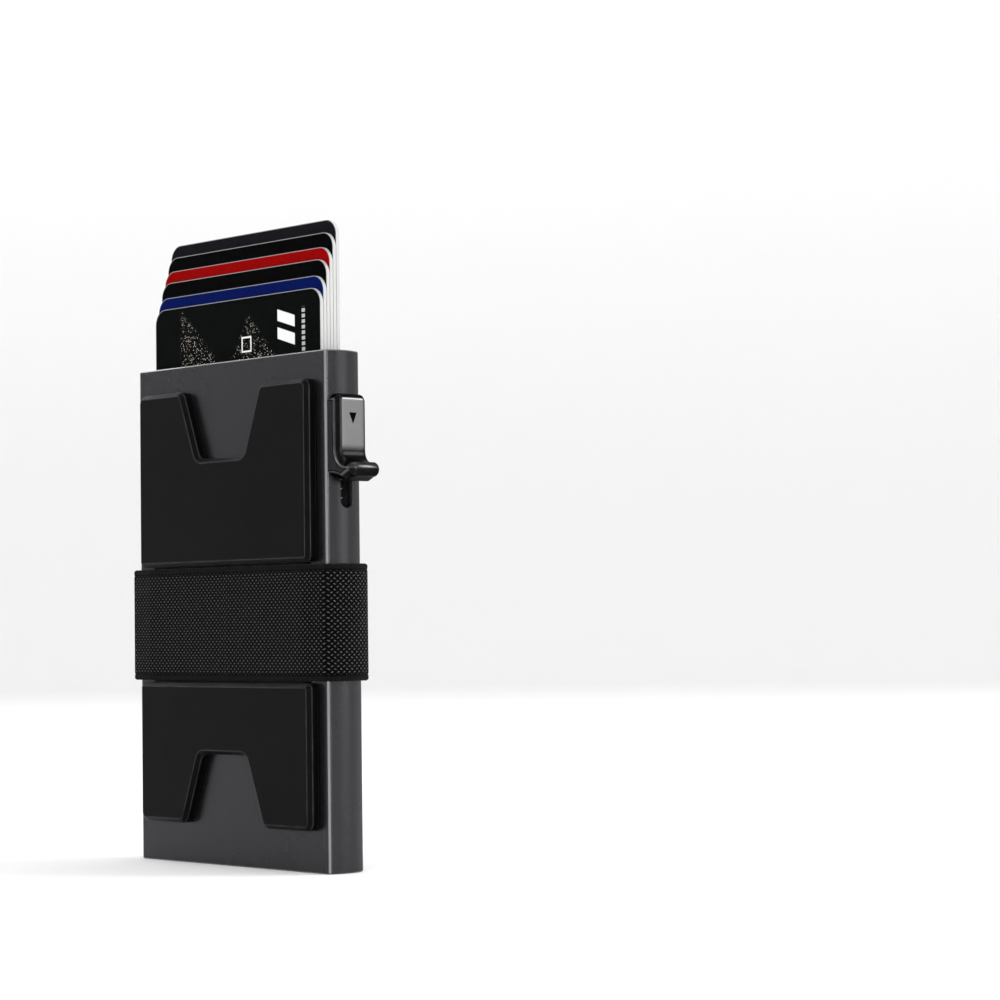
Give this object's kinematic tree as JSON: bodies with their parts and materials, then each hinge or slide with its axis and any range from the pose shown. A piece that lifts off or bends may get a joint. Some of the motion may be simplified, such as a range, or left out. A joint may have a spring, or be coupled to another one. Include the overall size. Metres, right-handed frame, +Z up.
{
  "type": "pop-up card wallet",
  "caption": "Slim aluminium card wallet with a side trigger that fans the cards out of its top and a cash plate held on by a wide elastic band.",
  "frame": {"origin": "middle of the case's bottom face, where the wallet stands", "axes": "+X towards the side with the trigger, +Y towards the back, away from the cash plate, +Z up towards the card opening"},
  "size_m": [0.0711, 0.0127, 0.1286],
  "materials": {
    "gunmetal_case": "bead-blasted and anodised gunmetal",
    "black_plate": "matte black anodised",
    "black_trigger": "satin dark anodised",
    "black_nylon": "moulded, fine matte",
    "spring_steel": "plain drawn wire and pins",
    "elastic_web": "woven elastic with corded edges",
    "felt": "short felt",
    "card_black": "laminated, glossy black with specks",
    "card_blue": "laminated, navy",
    "card_red": "laminated, deep red",
    "card_plain": "laminated, plain black",
    "card_night": "laminated, black with a blue cast",
    "rocker_nylon": "glass-filled nylon, satin"
  },
  "bodies": {
    "case": {"case_shell": "gunmetal_case", "inner_frame": "black_nylon", "end_cap": "black_nylon", "end_cap_screw_left": "spring_steel", "end_cap_screw_right": "spring_steel", "front_liner": "felt", "back_liner": "felt", "pivot_pin": "spring_steel", "elastic_band": "elastic_web", "return_spring": "spring_steel"},
    "trigger": {"trigger_button": "black_trigger", "trigger_carriage": "black_nylon", "push_rod": "spring_steel"},
    "rocker_arm": {"rocker": "rocker_nylon", "drive_peg": "spring_steel"},
    "plate": {"cash_plate": "black_plate"},
    "card_body_1": {"card_1": "card_black"},
    "card_body_2": {"card_2": "card_blue"},
    "card_body_3": {"card_3": "card_plain"},
    "card_body_4": {"card_4": "card_red"},
    "card_body_5": {"card_5": "card_plain"},
    "card_body_6": {"card_6": "card_night"}
  },
  "joints": [
    {"name": "trigger_slide", "type": "slide", "parent": "case", "child": "trigger", "axis": [0, 0, -1], "range_m": [0, 0.012], "stiffness_N_per_m": 150, "springref_m": -0.008, "deforming": ["return_spring"]},
    {"name": "rocker_hinge", "type": "hinge", "parent": "case", "child": "rocker_arm", "pos_m": [0.018, 0, 0.0084], "axis": [0, 1, 0], "range_deg": [0, 69.8]},
    {"name": "plate_lift", "type": "slide", "parent": "case", "child": "plate", "axis": [0, -1, 0], "range_m": [0, 0.0025], "stiffness_N_per_m": 900, "springref_m": -0.002, "deforming": ["elastic_band"]},
    {"name": "card_1_slide", "type": "slide", "parent": "case", "child": "card_body_1", "axis": [0, 0, 1], "range_m": [-0.0141, 0.0679]},
    {"name": "card_2_slide", "type": "slide", "parent": "case", "child": "card_body_2", "axis": [0, 0, 1], "range_m": [-0.0166, 0.0654]},
    {"name": "card_3_slide", "type": "slide", "parent": "case", "child": "card_body_3", "axis": [0, 0, 1], "range_m": [-0.0199, 0.0621]},
    {"name": "card_4_slide", "type": "slide", "parent": "case", "child": "card_body_4", "axis": [0, 0, 1], "range_m": [-0.0224, 0.0596]},
    {"name": "card_5_slide", "type": "slide", "parent": "case", "child": "card_body_5", "axis": [0, 0, 1], "range_m": [-0.0254, 0.0566]},
    {"name": "card_6_slide", "type": "slide", "parent": "case", "child": "card_body_6", "axis": [0, 0, 1], "range_m": [-0.028, 0.054]}
  ],
  "couplings": [
    {"joint": "rocker_hinge", "follows": "trigger_slide", "rad_per_m": 101.3}
  ]
}
